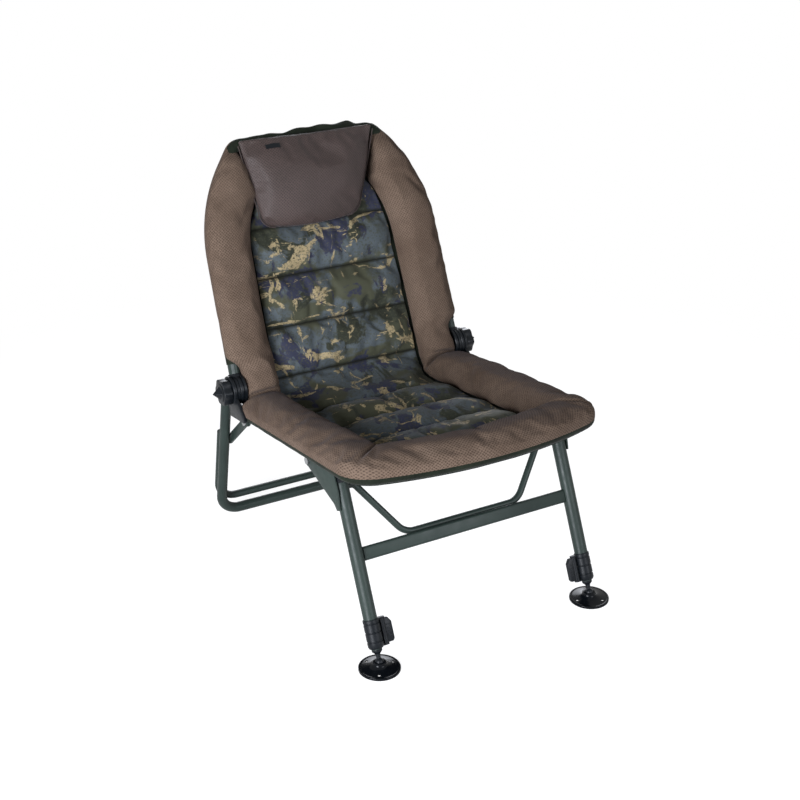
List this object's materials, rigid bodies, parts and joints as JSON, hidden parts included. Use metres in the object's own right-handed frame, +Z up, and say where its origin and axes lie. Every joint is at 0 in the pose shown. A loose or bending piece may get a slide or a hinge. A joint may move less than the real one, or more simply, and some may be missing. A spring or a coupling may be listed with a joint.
{
  "type": "carp fishing chair",
  "caption": "Folding angler's chair: padded seat, reclining back with hub clamps and head pillow, front legs with sliding inner legs and tilting mud feet, folding tubular rear legs.",
  "frame": {"origin": "middle of the footprint, on the ground under the opened chair", "axes": "+Z up, -Y the way the sitter faces, +X to the sitter's left"},
  "size_m": [0.599, 0.7686, 0.7795],
  "materials": {
    "frame_coat": "satin dark grey-green powder coat",
    "sling_cloth": "dark woven cloth and edge binding",
    "mesh_cloth": "taupe-brown air mesh",
    "pad_cloth": "quilted cloth with a camouflage print",
    "pillow_cloth": "taupe-brown air mesh",
    "black_plastic": "moulded black, satin",
    "gloss_plastic": "moulded black, glossy",
    "bolt_steel": "zinc plated"
  },
  "bodies": {
    "seat": {"seat_frame": "frame_coat", "seat_sling": "sling_cloth", "seat_bolster": "mesh_cloth", "seat_pad": "pad_cloth", "seat_hub_left": "black_plastic", "seat_hub_right": "black_plastic", "hub_bolt_left": "bolt_steel", "hub_bolt_right": "bolt_steel", "front_leg_lug_left": "frame_coat", "front_leg_lug_right": "frame_coat", "front_leg_pin_left": "bolt_steel", "front_leg_pin_right": "bolt_steel", "strut_lug_left": "frame_coat", "strut_lug_right": "frame_coat", "strut_pin_left": "bolt_steel", "strut_pin_right": "bolt_steel", "leg_catch_left": "black_plastic", "leg_catch_right": "black_plastic"},
    "back": {"back_frame": "frame_coat", "back_sling": "sling_cloth", "back_bolster_left": "mesh_cloth", "back_bolster_right": "mesh_cloth", "back_pad": "pad_cloth", "head_pillow": "pillow_cloth", "back_hub_left": "black_plastic", "back_hub_right": "black_plastic"},
    "knob_left": {"clamp_knob_left": "black_plastic"},
    "knob_right": {"clamp_knob_right": "black_plastic"},
    "front_legs": {"front_leg_left": "frame_coat", "front_leg_right": "frame_coat", "leg_gusset_left": "frame_coat", "leg_gusset_right": "frame_coat", "front_crossbar": "frame_coat", "front_brace": "frame_coat", "leg_collar_left": "black_plastic", "leg_collar_right": "black_plastic"},
    "lever_left": {"cam_lever_left": "black_plastic"},
    "lever_right": {"cam_lever_right": "black_plastic"},
    "inner_left": {"inner_leg_left": "frame_coat", "ball_stud_left": "black_plastic"},
    "inner_right": {"inner_leg_right": "frame_coat", "ball_stud_right": "black_plastic"},
    "foot_left": {"mud_foot_left": "gloss_plastic"},
    "foot_right": {"mud_foot_right": "gloss_plastic"},
    "rear_legs": {"rear_leg_frame": "frame_coat", "rear_inner_frame": "frame_coat", "rear_strut_left": "frame_coat", "rear_strut_right": "frame_coat"}
  },
  "joints": [
    {"name": "back_recline", "type": "hinge", "parent": "seat", "child": "back", "pos_m": [0, 0.1872, 0.33], "axis": [1, 0, 0], "range_deg": [-50, 65]},
    {"name": "knob_turn_left", "type": "hinge", "parent": "seat", "child": "knob_left", "pos_m": [0.275, 0.1872, 0.33], "axis": [1, 0, 0], "range_deg": [0, 360]},
    {"name": "knob_turn_right", "type": "hinge", "parent": "seat", "child": "knob_right", "pos_m": [-0.275, 0.1872, 0.33], "axis": [-1, 0, 0], "range_deg": [0, 360]},
    {"name": "front_leg_fold", "type": "hinge", "parent": "seat", "child": "front_legs", "pos_m": [0, -0.112, 0.3069], "axis": [1, 0, 0], "range_deg": [0, 90]},
    {"name": "rear_leg_fold", "type": "hinge", "parent": "seat", "child": "rear_legs", "pos_m": [0, 0.1651, 0.2675], "axis": [-1, 0, 0], "range_deg": [0, 95]},
    {"name": "leg_extend_left", "type": "slide", "parent": "front_legs", "child": "inner_left", "axis": [0, 0.4226, 0.9063], "range_m": [-0.1, 0]},
    {"name": "leg_extend_right", "type": "slide", "parent": "front_legs", "child": "inner_right", "axis": [0, 0.4226, 0.9063], "range_m": [-0.1, 0]},
    {"name": "lever_open_left", "type": "hinge", "parent": "front_legs", "child": "lever_left", "pos_m": [0.2055, -0.3253, 0.0602], "axis": [0, 0.4226, 0.9063], "range_deg": [0, 95]},
    {"name": "lever_open_right", "type": "hinge", "parent": "front_legs", "child": "lever_right", "pos_m": [-0.2055, -0.3253, 0.0602], "axis": [0, -0.4226, -0.9063], "range_deg": [0, 95]},
    {"name": "foot_tilt_left", "type": "hinge", "parent": "inner_left", "child": "foot_left", "pos_m": [0.226, -0.3468, 0.014], "axis": [1, 0, 0], "range_deg": [-30, 15]},
    {"name": "foot_tilt_right", "type": "hinge", "parent": "inner_right", "child": "foot_right", "pos_m": [-0.226, -0.3468, 0.014], "axis": [1, 0, 0], "range_deg": [-30, 15]}
  ]
}
